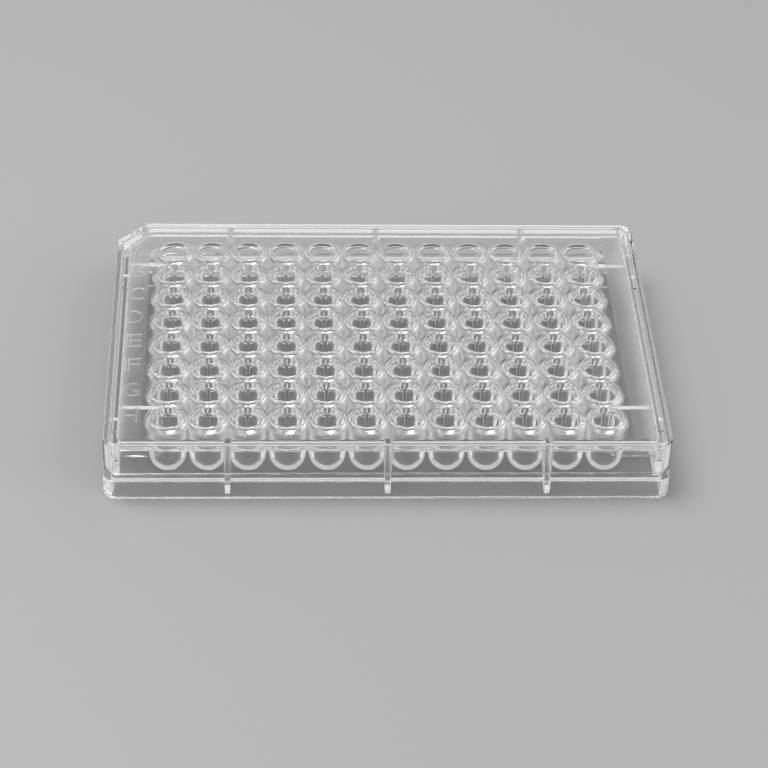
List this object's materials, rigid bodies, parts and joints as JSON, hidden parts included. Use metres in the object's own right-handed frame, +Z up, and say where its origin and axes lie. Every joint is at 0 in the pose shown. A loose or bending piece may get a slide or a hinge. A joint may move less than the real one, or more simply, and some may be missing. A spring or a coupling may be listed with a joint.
{
  "type": "well plate",
  "caption": "Clear round-bottom microplate: a grid of joined wells in a flanged frame with a notched corner, closed by a shallow push-on lid.",
  "frame": {"origin": "centre of the footprint, on the surface that the plate stands on", "axes": "+X along a row of wells from column 1 to column 12, +Y from row H to row A, +Z up; the notch is at -X +Y, beside well A1"},
  "size_m": [0.1278, 0.0854, 0.0154],
  "materials": {
    "plate_plastic": "clear polystyrene, polished by the mould",
    "lid_plastic": "clear polystyrene, polished by the mould"
  },
  "bodies": {
    "root": {"plate": "plate_plastic", "lid": "lid_plastic"}
  },
  "joints": []
}
